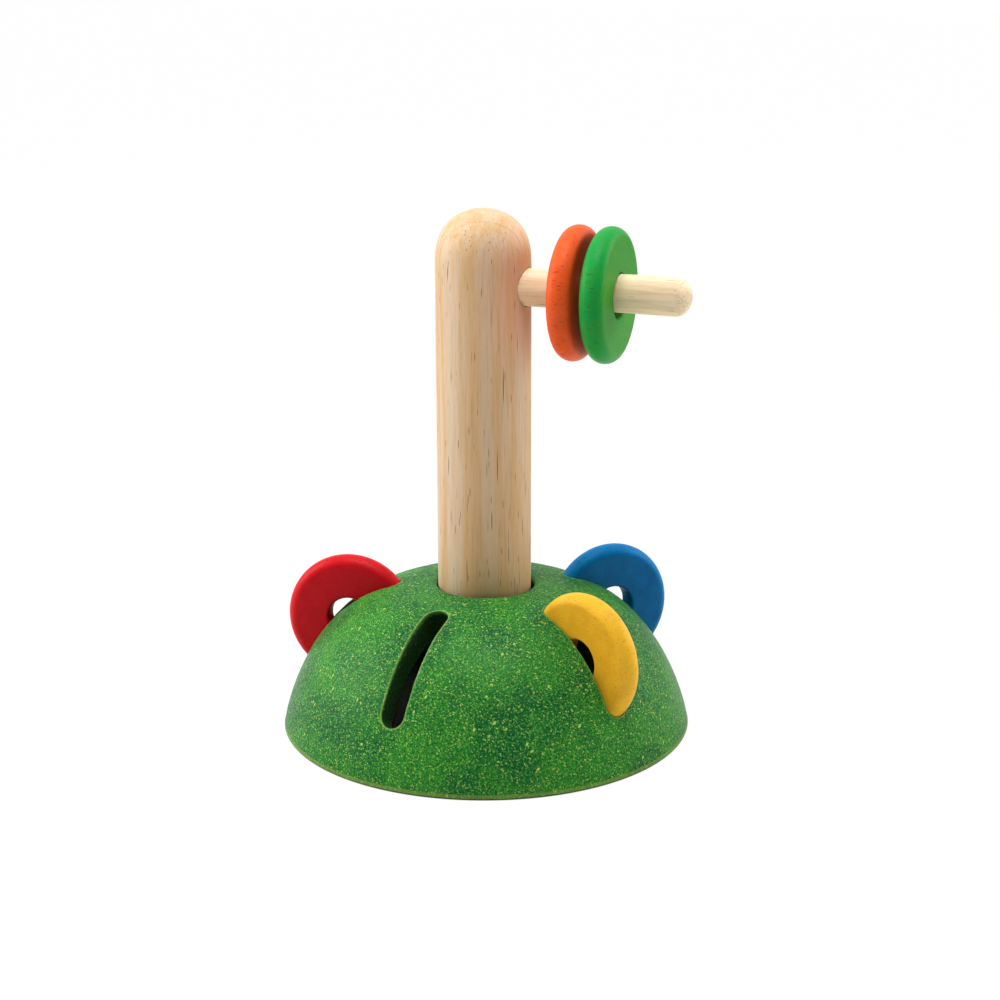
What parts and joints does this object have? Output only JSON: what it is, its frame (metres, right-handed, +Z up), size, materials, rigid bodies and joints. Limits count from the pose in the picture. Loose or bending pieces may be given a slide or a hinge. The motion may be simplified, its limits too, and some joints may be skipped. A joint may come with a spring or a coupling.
{
  "type": "stacking ring toy",
  "caption": "Wooden stacking toy: a slotted dome base, an upright post with a side peg, and coloured rings that stand in the slots or hang on the peg.",
  "frame": {"origin": "centre of the dome's flat underside, where it rests", "axes": "+Z up along the post, +X the way the peg points"},
  "size_m": [0.1553, 0.1546, 0.1961],
  "materials": {
    "green_pressed_wood": "satin, dyed through, fine pale fibre flecks",
    "post_wood": "satin clear, vertical grain",
    "peg_wood": "satin clear, grain along the peg",
    "orange_stain": "satin stained",
    "green_stain": "satin stained",
    "red_stain": "satin stained",
    "blue_stain": "satin stained",
    "yellow_stain": "satin stained"
  },
  "bodies": {
    "base": {"dome_base": "green_pressed_wood"},
    "post_and_peg": {"post": "post_wood", "peg": "peg_wood"},
    "orange_ring": {"ring_orange": "orange_stain"},
    "green_ring": {"ring_green": "green_stain"},
    "red_ring": {"ring_red": "red_stain"},
    "blue_ring": {"ring_blue": "blue_stain"},
    "yellow_ring": {"ring_yellow": "yellow_stain"}
  },
  "joints": [
    {"name": "post_lift", "type": "slide", "parent": "base", "child": "post_and_peg", "axis": [0, 0, 1], "range_m": [0, 0.055]},
    {"name": "orange_ring_slide", "type": "slide", "parent": "post_and_peg", "child": "orange_ring", "axis": [1, 0, 0], "range_m": [-0.013, 0.05]},
    {"name": "green_ring_slide", "type": "slide", "parent": "orange_ring", "child": "green_ring", "axis": [1, 0, 0], "range_m": [-0.003, 0.04]},
    {"name": "blue_ring_pull", "type": "slide", "parent": "base", "child": "blue_ring", "axis": [0.4563, 0.4894, 0.7431], "range_m": [0, 0.05]},
    {"name": "red_ring_pull", "type": "slide", "parent": "base", "child": "red_ring", "axis": [-0.6568, -0.1277, 0.7431], "range_m": [0, 0.05]},
    {"name": "yellow_ring_pull", "type": "slide", "parent": "base", "child": "yellow_ring", "axis": [0.6064, -0.2828, 0.7431], "range_m": [0, 0.05]}
  ]
}
